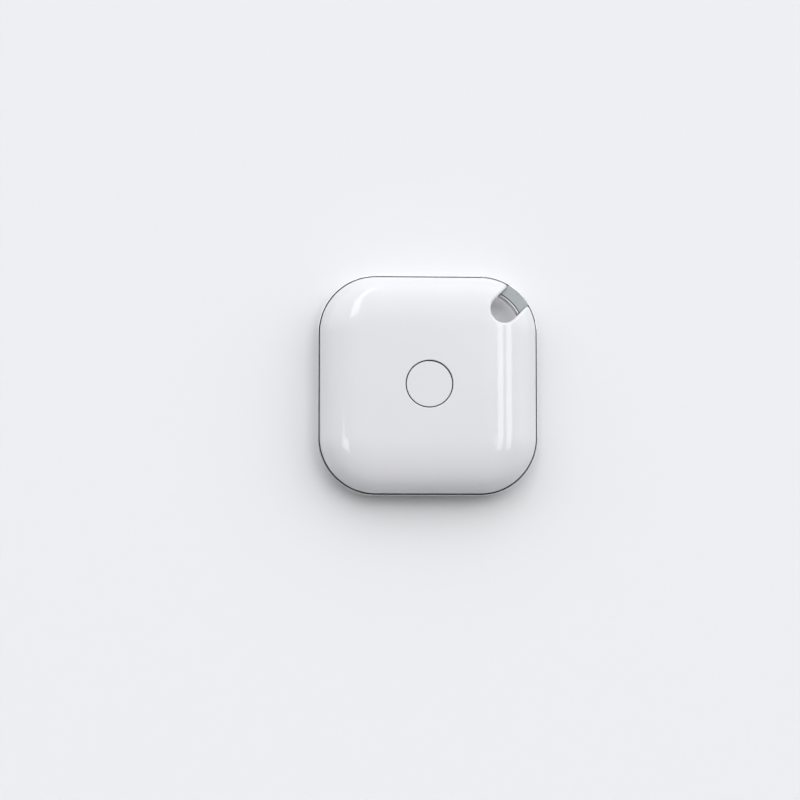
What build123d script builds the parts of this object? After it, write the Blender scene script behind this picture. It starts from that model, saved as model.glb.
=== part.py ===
from build123d import *
import os

# A square bluetooth tracker tag with a key hole through one corner. It lies on its back with its
# face up: +Z is up out of the face, and the key hole is at the +X +Y corner. The origin is at the
# centre of the back, in the plane that it rests on. All lengths are in millimetres.
#
# The case opens at the seam for a new coin cell. The back cover stays, the front half lifts off
# with the circuit board in it, and the cell drops out of the holder under the board.

# ---- the outside ----
SIDE = 37.0  # across the trim frame, which is the widest piece
CORNER = 9.76  # its corner radius in plan
HEIGHT = 8.0  # from the back to the face
SEAM_Z = 3.05  # where the case opens, between the back cover and the trim frame
TRIM_TOP_Z = 4.35
TRIM_WIDTH = 2.1
TRIM_ROUND = 0.14
SHELL_INSET = 0.3  # the white shells stand back this far from the trim frame
GROOVE_WIDTH = 0.16  # a shadow line in the trim frame, all round the front shell
GROOVE_DEPTH = 0.35
FRONT_SHOULDER = 9.2  # width of the rounded shoulder round the face
BACK_SHOULDER = 8.5
RIM_PULL = 0.62  # the shoulder's control points: up the rim, as a share of its height,
CROWN_PULLS = (0.28, 0.65)  # and in along the crown, as shares of its width
RIM_ROUND = 0.06

# ---- the key hole ----
KEY_RADIUS = 2.29
KEY_XY = 12.6  # the hole's centre, on both X and Y
KEY_WALL = 1.0  # the wall that keeps the hole apart from the inside
NOTCH_ROUND = 0.45  # where the face rolls into the notch
BACK_HOLE_ROUND = 0.28
BAR_STEP = 0.35  # the back cover's part of the bar reaches further in than the trim frame's
BAR_LINER = (0.32, 0.12)  # a thin rib stands on that step, this far inside the trim frame
BAR_LINER_Z = (2.55, 4.2)  # it starts inside the back cover
BAR_LINER_GAP = 0.1  # at both of its ends

# ---- walls and lips ----
WALL = 1.1  # the flat walls of both shells
LIP_GAP = 0.05  # round the lips, inside the trim frame
LIP_WALL = 0.5
LIP_TOP_Z = 3.85  # the back cover's lip
FRONT_LIP_Z = 3.95  # the top cover's lip
FRONT_HOLLOW_SHOULDER = 5.2
BACK_HOLLOW_SHOULDER = 4.6
FACE_GAP = 0.05  # between flat faces that meet without a bond

# ---- the button ----
BUTTON_RADIUS = 3.81
BUTTON_GAP = 0.16
BUTTON_ROUND = 0.06
BUTTON_DROP = 0.1  # its face lies this far below the shell's
MOUTH_ROUND = 0.12  # the edge of the hole that it stands in
FLANGE_RADIUS = 4.75
FLANGE_Z = (6.45, 6.85)
NUB_RADIUS = 0.8
NUB_Z = 6.28

# ---- the circuit board ----
BOARD_Z = (4.9, 5.7)
BOARD_HALF = 14.9
BOARD_KEY_GAP = 0.2
SCREW_XY = ((-11.6, 11.6), (11.6, -11.6))
SCREW_RADIUS = 0.6
SCREW_HOLE_RADIUS = 0.75
SCREW_HEAD_RADIUS = 1.15
SCREW_HEAD = 0.55
SCREW_TIP_Z = 6.7
CROSS_SLOT = (1.5, 0.28, 0.3)  # length, width and depth of each slot in a screw's head
BOSS_RADIUS = 1.5
BOSS_ROOT_Z = 7.2  # inside the shell's wall

# ---- the coin cell, of the 20 mm by 3.2 mm size ----
CELL_XY = (2.0, 2.0)
CELL_RADIUS = 10.0
CELL_Z = (1.33, 4.53)
CELL_SHEET = 0.25
CELL_CAP_RADIUS = 8.8
CELL_ROUND = 0.3  # the turn of the can and of the cap
CRIMP_RADIUS = 9.2
CRIMP_DROP = 0.45  # how far below the cap's face the can starts to turn in
SEAL_GAP = 0.02
PELLET_RADIUS = 7.9
CATHODE_HEIGHT = 1.8
PAD_RADIUS = 6.0
PAD_GAP = 0.03

# ---- the cell's holder and contacts ----
HOLDER_RADII = (10.2, 11.0)
HOLDER_Z = 1.6
FINGER_GAP = 6.0  # opening in the holder, to lift the cell out
FINGER_GAP_DEPTH = 2.2
CLIP_WIDTH = 3.4
CLIP_SHEET = 0.2
CLIP_FOOT = 1.9
CLIP_END_Z = 2.0
CONTACT_SHEET = 0.15
CONTACT_RADII = (2.2, 3.4, 5.0)  # its raised middle, the foot of its slope, and its rim
CONTACT_GAP = 0.03

# ---- the buzzer, under the board ----
BUZZER_XY = (-9.9, -9.9)
BUZZER_SIDE = 7.5
BUZZER_Z = 2.4
BUZZER_CHAMFER = 1.0
BUZZER_BORE = 3.2
BUZZER_FLOOR = 0.4
BUZZER_LEDGE = 0.4  # the diaphragm's rim rests on it
PORT_RADIUS = 0.9
DIAPHRAGM_Z = 3.1
DIAPHRAGM_SHEET = 0.06
DIAPHRAGM_WEIGHT = (1.1, 0.12)  # radius and height
YOKE_Z = 4.5
POLE_Z = 3.4
POLE_RADIUS = 0.8
COIL_RADII = (0.85, 1.7)
MAGNET_RADIUS = 2.3  # its bore
COLLAR_RADII = (2.1, 2.8)  # on the back cover, round the sound holes
SOUND_HOLE_RADIUS = 0.5
SOUND_HOLE_CIRCLE = 1.15

HALF = SIDE / 2
STRAIGHT = HALF - CORNER  # from the centre to each corner's axis
SHELL_HALF = HALF - SHELL_INSET
TRIM_HOLLOW_HALF = HALF - TRIM_WIDTH
LIP_HALF = TRIM_HOLLOW_HALF - LIP_GAP
HOLLOW_HALF = LIP_HALF - LIP_WALL
CHIMNEY_RADIUS = KEY_RADIUS + KEY_WALL
BOARD_LOW, BOARD_TOP = BOARD_Z
CELL_LOW, CELL_TOP = CELL_Z


def rounded_block(half, z_low, z_high):
    """A square prism whose corners turn about the tag's four corner axes."""
    with BuildPart() as block:
        with BuildSketch(Plane.XY.offset(z_low)):
            RectangleRounded(2 * half, 2 * half, half - STRAIGHT)
        extrude(amount=z_high - z_low)
    return block.part


def pillow(half, shoulder, rim_z, crown_z):
    """A rounded square block that narrows from its upright rim to a flat crown, above it or below
    it, along a curve that eases into the crown: straight along the four sides, and turned about the
    four corner axes."""
    drop = crown_z - rim_z
    near_pull, far_pull = CROWN_PULLS
    with BuildPart() as block:
        with BuildSketch(Plane.XY.offset(min(rim_z, crown_z))):
            Rectangle(2 * STRAIGHT, 2 * STRAIGHT)
        extrude(amount=abs(drop))
        for quarter in range(4):
            outward = Vector(1, 0, 0).rotate(Axis.Z, 90 * quarter)
            along = Vector(0, 1, 0).rotate(Axis.Z, 90 * quarter)
            corner_axis = Axis((outward + along) * STRAIGHT, (0, 0, 1))
            with BuildSketch(Plane(along * STRAIGHT, x_dir=outward, z_dir=-along)) as section:
                with BuildLine():
                    Bezier(
                        (half, rim_z),
                        (half, rim_z + RIM_PULL * drop),
                        (half - near_pull * shoulder, crown_z),
                        (half - far_pull * shoulder, crown_z),
                        (half - shoulder, crown_z),
                    )
                    Polyline(
                        (half - shoulder, crown_z),
                        (STRAIGHT, crown_z),
                        (STRAIGHT, rim_z),
                        (half, rim_z),
                    )
                make_face()
            extrude(amount=2 * STRAIGHT)
            revolve(section.sketch, axis=corner_axis, revolution_arc=90)
    return block.part


def key_channel(radius, z_low, z_high):
    """A U-shaped prism: a half round about the key hole's centre that runs out past the corner."""
    with BuildPart() as channel:
        with BuildSketch(Plane((KEY_XY, KEY_XY, z_low), x_dir=(1, 1, 0), z_dir=(0, 0, 1))):
            Circle(radius)
            with Locations((CORNER / 2, 0)):
                Rectangle(CORNER, 2 * radius)
        extrude(amount=z_high - z_low)
    return channel.part


def beside_key_hole(edge):
    """Whether an edge is one of those round the key hole itself."""
    middle = edge @ 0.5
    return (middle - Vector(KEY_XY, KEY_XY, middle.Z)).length < CHIMNEY_RADIUS


def disc(centre, radius, z_low, z_high):
    """A round block standing on z_low."""
    with BuildPart() as block:
        with BuildSketch(Plane.XY.offset(z_low)):
            with Locations(centre):
                Circle(radius)
        extrude(amount=z_high - z_low)
    return block.part


def ring(centre, inner, outer, z_low, z_high):
    """A round tube standing on z_low."""
    with BuildPart() as tube:
        with BuildSketch(Plane.XY.offset(z_low)):
            with Locations(centre):
                Circle(outer)
                Circle(inner, mode=Mode.SUBTRACT)
        extrude(amount=z_high - z_low)
    return tube.part


def chips(places, length, width, height, bevel, below=False):
    """Chips of one size on the board: places are (x, y, turn in degrees)."""
    base = BOARD_LOW - height if below else BOARD_TOP
    with BuildPart() as group:
        for x, y, turn in places:
            with BuildSketch(Plane.XY.offset(base)):
                with Locations(Location((x, y), turn)):
                    Rectangle(length, width)
            extrude(amount=height)
        outer_faces = group.faces().sort_by(Axis.Z).group_by(Axis.Z)[0 if below else -1]
        chamfer(outer_faces.edges(), bevel)
    return group


# ================================ the case ================================

# The hollow in the front half: its ceiling falls at the edges as the face does, and it leaves the
# wall round the key hole standing.
with BuildPart() as front_hollow:
    add(pillow(HOLLOW_HALF, FRONT_HOLLOW_SHOULDER, TRIM_TOP_Z, HEIGHT - WALL))
    add(key_channel(CHIMNEY_RADIUS, TRIM_TOP_Z, HEIGHT), mode=Mode.SUBTRACT)

# The wall round the key hole goes on down inside the trim frame, to the seam.
with BuildPart() as front_chimney:
    add(key_channel(CHIMNEY_RADIUS, SEAM_Z + FACE_GAP, TRIM_TOP_Z))
    add(rounded_block(LIP_HALF, SEAM_Z, TRIM_TOP_Z), mode=Mode.INTERSECT)

with BuildPart() as top_cover:
    add(pillow(SHELL_HALF, FRONT_SHOULDER, TRIM_TOP_Z, HEIGHT))
    add(key_channel(KEY_RADIUS, TRIM_TOP_Z, HEIGHT), mode=Mode.SUBTRACT)
    notch_edges = top_cover.edges(Select.LAST).filter_by(Axis.Z, reverse=True)
    fillet(notch_edges.filter_by_position(Axis.Z, TRIM_TOP_Z + RIM_ROUND, HEIGHT), NOTCH_ROUND)
    rim_edges = top_cover.faces().sort_by(Axis.Z)[0].edges()
    fillet(rim_edges.filter_by(lambda edge: not beside_key_hole(edge)), RIM_ROUND)
    add(front_hollow.part, mode=Mode.SUBTRACT)
    add(rounded_block(LIP_HALF, FRONT_LIP_Z, TRIM_TOP_Z))
    add(rounded_block(HOLLOW_HALF, FRONT_LIP_Z, TRIM_TOP_Z), mode=Mode.SUBTRACT)
    add(front_chimney.part)
    add(key_channel(KEY_RADIUS, SEAM_Z, TRIM_TOP_Z), mode=Mode.SUBTRACT)
    for place in SCREW_XY:
        add(disc(place, BOSS_RADIUS, BOARD_TOP, BOSS_ROOT_Z))
        add(disc(place, SCREW_RADIUS, BOARD_TOP, SCREW_TIP_Z + FACE_GAP), mode=Mode.SUBTRACT)
    add(disc((0, 0), BUTTON_RADIUS + BUTTON_GAP, HEIGHT - WALL, HEIGHT), mode=Mode.SUBTRACT)
    mouth = top_cover.edges(Select.LAST).filter_by(GeomType.CIRCLE).sort_by(Axis.Z)[-1]
    fillet(mouth, MOUTH_ROUND)

# The shadow line stops on both sides of the bar, whose top is flat across the key hole's notch.
with BuildPart() as trim_groove:
    add(rounded_block(SHELL_HALF + GROOVE_WIDTH, TRIM_TOP_Z - GROOVE_DEPTH, TRIM_TOP_Z))
    add(rounded_block(SHELL_HALF, TRIM_TOP_Z - GROOVE_DEPTH, TRIM_TOP_Z), mode=Mode.SUBTRACT)
    add(key_channel(KEY_RADIUS, TRIM_TOP_Z - GROOVE_DEPTH, TRIM_TOP_Z), mode=Mode.SUBTRACT)

with BuildPart() as trim_frame:
    add(rounded_block(HALF, SEAM_Z, TRIM_TOP_Z))
    fillet(trim_frame.edges().filter_by(Axis.Z, reverse=True), TRIM_ROUND)
    add(rounded_block(TRIM_HOLLOW_HALF, SEAM_Z, TRIM_TOP_Z), mode=Mode.SUBTRACT)
    add(trim_groove.part, mode=Mode.SUBTRACT)

# The key hole in the back half ends at the bar.
with BuildPart() as back_key_hole:
    add(key_channel(KEY_RADIUS, 0, LIP_TOP_Z))
    add(rounded_block(TRIM_HOLLOW_HALF - BAR_STEP, 0, LIP_TOP_Z), mode=Mode.INTERSECT)

with BuildPart() as back_hollow:
    add(pillow(HOLLOW_HALF, BACK_HOLLOW_SHOULDER, SEAM_Z, WALL))
    add(rounded_block(HOLLOW_HALF, SEAM_Z, LIP_TOP_Z))
    add(key_channel(CHIMNEY_RADIUS, WALL, LIP_TOP_Z), mode=Mode.SUBTRACT)

# The lip stops short of the front half's wall round the key hole.
with BuildPart() as back_lip:
    add(rounded_block(LIP_HALF, SEAM_Z, LIP_TOP_Z))
    add(key_channel(CHIMNEY_RADIUS + LIP_GAP, SEAM_Z, LIP_TOP_Z), mode=Mode.SUBTRACT)

# The rib is the white line between the bar's metal top and the hole.
with BuildPart() as bar_liner:
    add(rounded_block(TRIM_HOLLOW_HALF - BAR_LINER[1], *BAR_LINER_Z))
    add(rounded_block(TRIM_HOLLOW_HALF - BAR_LINER[0], *BAR_LINER_Z), mode=Mode.SUBTRACT)
    add(key_channel(KEY_RADIUS - BAR_LINER_GAP, *BAR_LINER_Z), mode=Mode.INTERSECT)

with BuildPart() as back_cover:
    add(pillow(SHELL_HALF, BACK_SHOULDER, SEAM_Z, 0))
    fillet(back_cover.faces().sort_by(Axis.Z)[-1].edges(), RIM_ROUND)
    add(back_key_hole.part, mode=Mode.SUBTRACT)
    hole_edges = back_cover.edges(Select.LAST).filter_by(Axis.Z, reverse=True)
    fillet(hole_edges.filter_by_position(Axis.Z, 0, SEAM_Z - RIM_ROUND), BACK_HOLE_ROUND)
    add(back_lip.part)
    add(back_hollow.part, mode=Mode.SUBTRACT)
    add(bar_liner.part)
    add(ring(BUZZER_XY, *COLLAR_RADII, WALL, BUZZER_Z - 2 * FACE_GAP))
    with BuildSketch():
        with Locations(BUZZER_XY):
            with PolarLocations(SOUND_HOLE_CIRCLE, 3, start_angle=45):
                Circle(SOUND_HOLE_RADIUS)
    extrude(amount=WALL, mode=Mode.SUBTRACT)

# A foam disc on the back cover keeps the cell against its upper contact.
with BuildPart() as cell_pad:
    add(disc(CELL_XY, PAD_RADIUS, WALL, CELL_LOW - PAD_GAP))

# ================================ the button ================================

with BuildPart() as button_cap:
    add(disc((0, 0), BUTTON_RADIUS, FLANGE_Z[1], HEIGHT - BUTTON_DROP))
    fillet(button_cap.faces().sort_by(Axis.Z)[-1].edges(), BUTTON_ROUND)
    add(disc((0, 0), FLANGE_RADIUS, *FLANGE_Z))
    add(disc((0, 0), NUB_RADIUS, NUB_Z, FLANGE_Z[0]))

# ================================ the switch ================================
SWITCH_SIDE = 4.6
SWITCH_CORNER = 0.3
SWITCH_SEAT_Z = 5.85  # the dome's feet
SWITCH_BASE_Z = 6.0
SWITCH_PLATE_Z = 6.1
PLATE_HOLE_RADIUS = 1.5
DOME_RADIUS = 1.7
DOME_RISE = 0.4
DOME_SHEET = 0.06
DOME_SPHERE = (DOME_RADIUS**2 + DOME_RISE**2) / (2 * DOME_RISE)
TERMINAL_LENGTH = 0.7
TERMINAL_WIDTH = 0.6
TERMINAL_SHEET = 0.15
TERMINAL_PITCH = 3.0

with BuildPart() as switch_base:
    with BuildSketch(Plane.XY.offset(BOARD_TOP)):
        RectangleRounded(SWITCH_SIDE, SWITCH_SIDE, SWITCH_CORNER)
    extrude(amount=SWITCH_BASE_Z - BOARD_TOP)
    add(disc((0, 0), DOME_RADIUS + FACE_GAP, SWITCH_SEAT_Z, SWITCH_BASE_Z), mode=Mode.SUBTRACT)

with BuildPart() as switch_plate:
    with BuildSketch(Plane.XY.offset(SWITCH_BASE_Z)):
        RectangleRounded(SWITCH_SIDE, SWITCH_SIDE, SWITCH_CORNER)
        Circle(PLATE_HOLE_RADIUS, mode=Mode.SUBTRACT)
    extrude(amount=SWITCH_PLATE_Z - SWITCH_BASE_Z)

with BuildPart() as switch_dome:
    with Locations((0, 0, SWITCH_SEAT_Z + DOME_RISE - DOME_SPHERE)):
        Sphere(DOME_SPHERE)
        Sphere(DOME_SPHERE - DOME_SHEET, mode=Mode.SUBTRACT)
    split(bisect_by=Plane.XY.offset(SWITCH_SEAT_Z), keep=Keep.TOP)

with BuildPart() as switch_terminals:
    with BuildSketch(Plane.XY.offset(BOARD_TOP)):
        with GridLocations(SWITCH_SIDE + TERMINAL_LENGTH, TERMINAL_PITCH, 2, 2):
            Rectangle(TERMINAL_LENGTH, TERMINAL_WIDTH)
    extrude(amount=TERMINAL_SHEET)

# ================================ the circuit board ================================

with BuildPart() as circuit_board:
    add(rounded_block(BOARD_HALF, *BOARD_Z))
    add(key_channel(CHIMNEY_RADIUS + BOARD_KEY_GAP, *BOARD_Z), mode=Mode.SUBTRACT)
    for place in SCREW_XY:
        add(disc(place, SCREW_HOLE_RADIUS, *BOARD_Z), mode=Mode.SUBTRACT)

with BuildPart() as board_screws:
    for place in SCREW_XY:
        add(disc(place, SCREW_HEAD_RADIUS, BOARD_LOW - SCREW_HEAD, BOARD_LOW))
        add(disc(place, SCREW_RADIUS, BOARD_LOW, SCREW_TIP_Z))
    slot_length, slot_width, slot_depth = CROSS_SLOT
    with BuildSketch(Plane.XY.offset(BOARD_LOW - SCREW_HEAD)):
        with Locations(*SCREW_XY):
            Rectangle(slot_length, slot_width)
            Rectangle(slot_width, slot_length)
    extrude(amount=slot_depth, mode=Mode.SUBTRACT)

CHIP_X = -9.3  # the radio chip and its two crystals stand in a row
ANTENNA_Y = 11.2
DRIVER_Y = -12.2
bluetooth_chip = chips([(CHIP_X, 0, 0)], length=6.0, width=6.0, height=0.85, bevel=0.06)
main_crystal = chips([(CHIP_X, 4.8, 0)], length=2.5, width=2.0, height=0.6, bevel=0.08)
sleep_crystal = chips([(CHIP_X, -4.6, 0)], length=2.0, width=1.2, height=0.5, bevel=0.06)
chip_antenna = chips([(-3.5, ANTENNA_Y, 0)], length=7.0, width=2.0, height=0.8, bevel=0.05)
inductors = chips([(2.4, ANTENNA_Y, 0), (5.0, ANTENNA_Y, 0)], length=1.6, width=0.8, height=0.7, bevel=0.06)
buzzer_driver = chips([(-1.6, DRIVER_Y, 0)], length=2.9, width=1.3, height=0.95, bevel=0.1, below=True)
flyback_diode = chips([(2.4, DRIVER_Y, 0)], length=1.7, width=1.25, height=0.85, bevel=0.1, below=True)

# The capacitors stand in one row above the radio chip and one below it, with a column by the
# switch. The resistors stand beside that column, and in a short row of their own.
ROW_PITCH = 1.7
COLUMN_PITCH = 1.6
ROW_X = -12.2
COLUMN_Y = -3.0
capacitors = chips(
    [(ROW_X + ROW_PITCH * step, 7.4, 90) for step in range(5)]
    + [(ROW_X + ROW_PITCH * step, -7.0, 90) for step in range(4)]
    + [(8.6, COLUMN_Y - COLUMN_PITCH * step, 0) for step in range(3)],
    length=1.0,
    width=0.5,
    height=0.5,
    bevel=0.05,
)
resistors = chips(
    [(10.8, COLUMN_Y - COLUMN_PITCH * step, 0) for step in range(3)]
    + [(6.6 + COLUMN_PITCH * step, 2.0, 90) for step in range(3)],
    length=1.0,
    width=0.5,
    height=0.35,
    bevel=0.04,
)

# ================================ the cell's holder and contacts ================================
CELL_X, CELL_Y = CELL_XY
HOLDER_CUT = 4.0  # the openings' cutters, along the holder's radius
CLIP_X = CELL_X - CELL_RADIUS - 0.1  # the clip's face beside the cell's wall

# A ring under the board, open at the clip on the -X side and at a finger gap on the +X -Y side.
with BuildPart() as cell_holder:
    add(ring(CELL_XY, *HOLDER_RADII, HOLDER_Z, BOARD_LOW))
    with BuildSketch(Plane.XY.offset(HOLDER_Z)):
        with Locations((CELL_X - CELL_RADIUS, CELL_Y)):
            Rectangle(HOLDER_CUT, CLIP_WIDTH + 1.0)
    extrude(amount=BOARD_LOW - HOLDER_Z, mode=Mode.SUBTRACT)
    with BuildSketch(Plane((CELL_X, CELL_Y, HOLDER_Z), x_dir=(1, -1, 0), z_dir=(0, 0, 1))):
        with Locations((CELL_RADIUS, 0)):
            Rectangle(HOLDER_CUT, FINGER_GAP)
    extrude(amount=FINGER_GAP_DEPTH, mode=Mode.SUBTRACT)

# The positive clip stands beside the cell's wall, and its foot is soldered under the board.
with BuildPart() as positive_contact:
    with BuildSketch(Plane.XZ.offset(-CELL_Y - CLIP_WIDTH / 2)):
        with BuildLine():
            Polyline(
                (CLIP_X, CLIP_END_Z),
                (CLIP_X, BOARD_LOW),
                (CLIP_X - CLIP_FOOT, BOARD_LOW),
                (CLIP_X - CLIP_FOOT, BOARD_LOW - CLIP_SHEET),
                (CLIP_X - CLIP_SHEET, BOARD_LOW - CLIP_SHEET),
                (CLIP_X - CLIP_SHEET, CLIP_END_Z),
                close=True,
            )
        make_face()
    extrude(amount=CLIP_WIDTH)

# ================================ pieces turned about the cell's axis ================================


def turned(points):
    """A piece turned about the cell's axis, from a closed outline of (radius, height) points."""
    with BuildPart() as piece:
        with BuildSketch(Plane((CELL_X, CELL_Y, 0), x_dir=(1, 0, 0), z_dir=(0, -1, 0))):
            with BuildLine():
                Polyline(*points, close=True)
            make_face()
        revolve(axis=Axis((CELL_X, CELL_Y, 0), (0, 0, 1)))
    return piece


# The negative contact is a dished spring disc with three slots, under the board.
DISH_RADIUS, SLOPE_RADIUS, CONTACT_RIM = CONTACT_RADII
DISH_Z = CELL_TOP + CONTACT_GAP
contact_disc = turned(
    [
        (0, DISH_Z),
        (DISH_RADIUS, DISH_Z),
        (SLOPE_RADIUS, BOARD_LOW - CONTACT_SHEET),
        (CONTACT_RIM, BOARD_LOW - CONTACT_SHEET),
        (CONTACT_RIM, BOARD_LOW),
        (SLOPE_RADIUS, BOARD_LOW),
        (DISH_RADIUS, DISH_Z + CONTACT_SHEET),
        (0, DISH_Z + CONTACT_SHEET),
    ]
)
with BuildPart() as negative_contact:
    add(contact_disc.part)
    with BuildSketch(Plane.XY.offset(CELL_TOP)):
        with Locations(CELL_XY):
            with PolarLocations((DISH_RADIUS + SLOPE_RADIUS) / 2 + 0.4, 3):
                Rectangle(2 * (SLOPE_RADIUS - DISH_RADIUS), 0.5)
    extrude(amount=BOARD_LOW - CELL_TOP, mode=Mode.SUBTRACT)

CELL_WALL_IN = CELL_RADIUS - CELL_SHEET
CELL_FLOOR = CELL_LOW + CELL_SHEET
CAP_INNER = CELL_CAP_RADIUS - CELL_SHEET
CAP_EDGE_Z = CELL_FLOOR + 0.3  # the cap's skirt stops above the can's floor
SEAL_LOW = CELL_FLOOR + SEAL_GAP
SEAL_TOP = CELL_TOP - 0.15  # it stands proud of the crimp

cell_can = turned(
    [
        (0, CELL_LOW),
        (CELL_RADIUS - CELL_ROUND, CELL_LOW),
        (CELL_RADIUS, CELL_LOW + CELL_ROUND),
        (CELL_RADIUS, CELL_TOP - CRIMP_DROP),
        (CELL_WALL_IN, CELL_TOP - 0.4 * CRIMP_DROP),
        (CRIMP_RADIUS, CELL_TOP - 0.2 * CRIMP_DROP),
        (CRIMP_RADIUS, CELL_TOP - 0.7 * CRIMP_DROP),
        (CELL_WALL_IN, CELL_TOP - CRIMP_DROP),
        (CELL_WALL_IN, CELL_FLOOR),
        (0, CELL_FLOOR),
    ]
)
cell_cap = turned(
    [
        (0, CELL_TOP),
        (CELL_CAP_RADIUS - CELL_ROUND, CELL_TOP),
        (CELL_CAP_RADIUS, CELL_TOP - CELL_ROUND),
        (CELL_CAP_RADIUS, CAP_EDGE_Z),
        (CAP_INNER, CAP_EDGE_Z),
        (CAP_INNER, CELL_TOP - CELL_SHEET - 0.1),
        (CAP_INNER - 0.1, CELL_TOP - CELL_SHEET),
        (0, CELL_TOP - CELL_SHEET),
    ]
)
cell_seal = turned(
    [
        (CELL_CAP_RADIUS + SEAL_GAP, CAP_EDGE_Z - SEAL_GAP),
        (CELL_CAP_RADIUS + SEAL_GAP, SEAL_TOP),
        (CRIMP_RADIUS - SEAL_GAP, SEAL_TOP),
        (CRIMP_RADIUS - SEAL_GAP, CELL_TOP - 0.8 * CRIMP_DROP),
        (CELL_WALL_IN - SEAL_GAP, CELL_TOP - 1.1 * CRIMP_DROP),
        (CELL_WALL_IN - SEAL_GAP, SEAL_LOW),
        (CAP_INNER, SEAL_LOW),
        (CAP_INNER, CAP_EDGE_Z - SEAL_GAP),
    ]
)
with BuildPart() as cell_cathode:
    add(disc(CELL_XY, PELLET_RADIUS, CELL_FLOOR, CELL_FLOOR + CATHODE_HEIGHT))
with BuildPart() as cell_anode:
    add(disc(CELL_XY, PELLET_RADIUS, CELL_FLOOR + CATHODE_HEIGHT + 0.1, CELL_TOP - CELL_SHEET))

# ================================ the buzzer ================================

# Its open side is against the board, and its sound port faces the holes in the back cover.
with BuildPart() as buzzer_case:
    with BuildSketch(Plane.XY.offset(BUZZER_Z)):
        with Locations(BUZZER_XY):
            Rectangle(BUZZER_SIDE, BUZZER_SIDE)
    extrude(amount=BOARD_LOW - BUZZER_Z)
    chamfer(buzzer_case.edges().filter_by(Axis.Z), BUZZER_CHAMFER)
    add(disc(BUZZER_XY, BUZZER_BORE, DIAPHRAGM_Z, BOARD_LOW), mode=Mode.SUBTRACT)
    floor_z = BUZZER_Z + BUZZER_FLOOR
    add(disc(BUZZER_XY, BUZZER_BORE - BUZZER_LEDGE, floor_z, DIAPHRAGM_Z), mode=Mode.SUBTRACT)
    add(disc(BUZZER_XY, PORT_RADIUS, BUZZER_Z, floor_z), mode=Mode.SUBTRACT)

with BuildPart() as buzzer_yoke:
    add(disc(BUZZER_XY, BUZZER_BORE - 0.02, YOKE_Z, BOARD_LOW - FACE_GAP))
    add(disc(BUZZER_XY, POLE_RADIUS, POLE_Z, YOKE_Z))

with BuildPart() as buzzer_magnet:
    add(ring(BUZZER_XY, MAGNET_RADIUS, BUZZER_BORE - 0.1, POLE_Z, YOKE_Z))

with BuildPart() as buzzer_coil:
    add(ring(BUZZER_XY, *COIL_RADII, POLE_Z + 0.1, YOKE_Z))

with BuildPart() as buzzer_diaphragm:
    weight_radius, weight_height = DIAPHRAGM_WEIGHT
    plate_top = DIAPHRAGM_Z + DIAPHRAGM_SHEET
    add(disc(BUZZER_XY, BUZZER_BORE - FACE_GAP, DIAPHRAGM_Z, plate_top))
    add(disc(BUZZER_XY, weight_radius, plate_top, plate_top + weight_height))

# ================================ export ================================

pieces = {
    "top_cover": top_cover.part,
    "trim_frame": trim_frame.part,
    "back_cover": back_cover.part,
    "cell_pad": cell_pad.part,
    "button_cap": button_cap.part,
    "switch_base": switch_base.part,
    "switch_plate": switch_plate.part,
    "switch_dome": switch_dome.part,
    "switch_terminals": switch_terminals.part,
    "circuit_board": circuit_board.part,
    "board_screws": board_screws.part,
    "bluetooth_chip": bluetooth_chip.part,
    "main_crystal": main_crystal.part,
    "sleep_crystal": sleep_crystal.part,
    "chip_antenna": chip_antenna.part,
    "capacitors": capacitors.part,
    "resistors": resistors.part,
    "inductors": inductors.part,
    "buzzer_driver": buzzer_driver.part,
    "flyback_diode": flyback_diode.part,
    "cell_holder": cell_holder.part,
    "positive_contact": positive_contact.part,
    "negative_contact": negative_contact.part,
    "cell_can": cell_can.part,
    "cell_cap": cell_cap.part,
    "cell_seal": cell_seal.part,
    "cell_cathode": cell_cathode.part,
    "cell_anode": cell_anode.part,
    "buzzer_case": buzzer_case.part,
    "buzzer_yoke": buzzer_yoke.part,
    "buzzer_magnet": buzzer_magnet.part,
    "buzzer_coil": buzzer_coil.part,
    "buzzer_diaphragm": buzzer_diaphragm.part,
}

os.makedirs("parts", exist_ok=True)
for name, part in pieces.items():
    part.label = name
    export_step(part, f"parts/{name}.step")
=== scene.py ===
from math import cos, hypot, pi, radians, sin, tan

import bmesh
import bpy
from mathutils import Matrix, Vector, noise


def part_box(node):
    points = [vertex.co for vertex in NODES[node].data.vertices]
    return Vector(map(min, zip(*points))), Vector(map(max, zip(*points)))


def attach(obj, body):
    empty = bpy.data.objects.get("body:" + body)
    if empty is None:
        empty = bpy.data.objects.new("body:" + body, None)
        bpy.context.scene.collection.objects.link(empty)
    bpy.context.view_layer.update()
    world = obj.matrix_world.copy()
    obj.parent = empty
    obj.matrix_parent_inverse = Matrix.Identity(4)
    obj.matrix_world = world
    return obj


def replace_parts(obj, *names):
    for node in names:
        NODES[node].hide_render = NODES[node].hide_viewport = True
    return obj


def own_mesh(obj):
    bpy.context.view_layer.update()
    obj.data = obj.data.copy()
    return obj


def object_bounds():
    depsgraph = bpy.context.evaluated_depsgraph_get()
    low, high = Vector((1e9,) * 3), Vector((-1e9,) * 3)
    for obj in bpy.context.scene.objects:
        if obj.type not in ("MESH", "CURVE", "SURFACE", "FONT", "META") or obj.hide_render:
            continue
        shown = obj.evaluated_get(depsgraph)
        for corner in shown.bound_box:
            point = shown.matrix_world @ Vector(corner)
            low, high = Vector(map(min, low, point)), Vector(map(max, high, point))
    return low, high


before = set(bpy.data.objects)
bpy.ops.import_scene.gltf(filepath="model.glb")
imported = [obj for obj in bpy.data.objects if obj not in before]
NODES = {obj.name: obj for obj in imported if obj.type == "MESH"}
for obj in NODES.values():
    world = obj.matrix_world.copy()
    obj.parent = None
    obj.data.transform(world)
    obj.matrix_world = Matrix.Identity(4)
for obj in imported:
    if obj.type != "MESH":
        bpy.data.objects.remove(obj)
cad_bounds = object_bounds()

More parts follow.
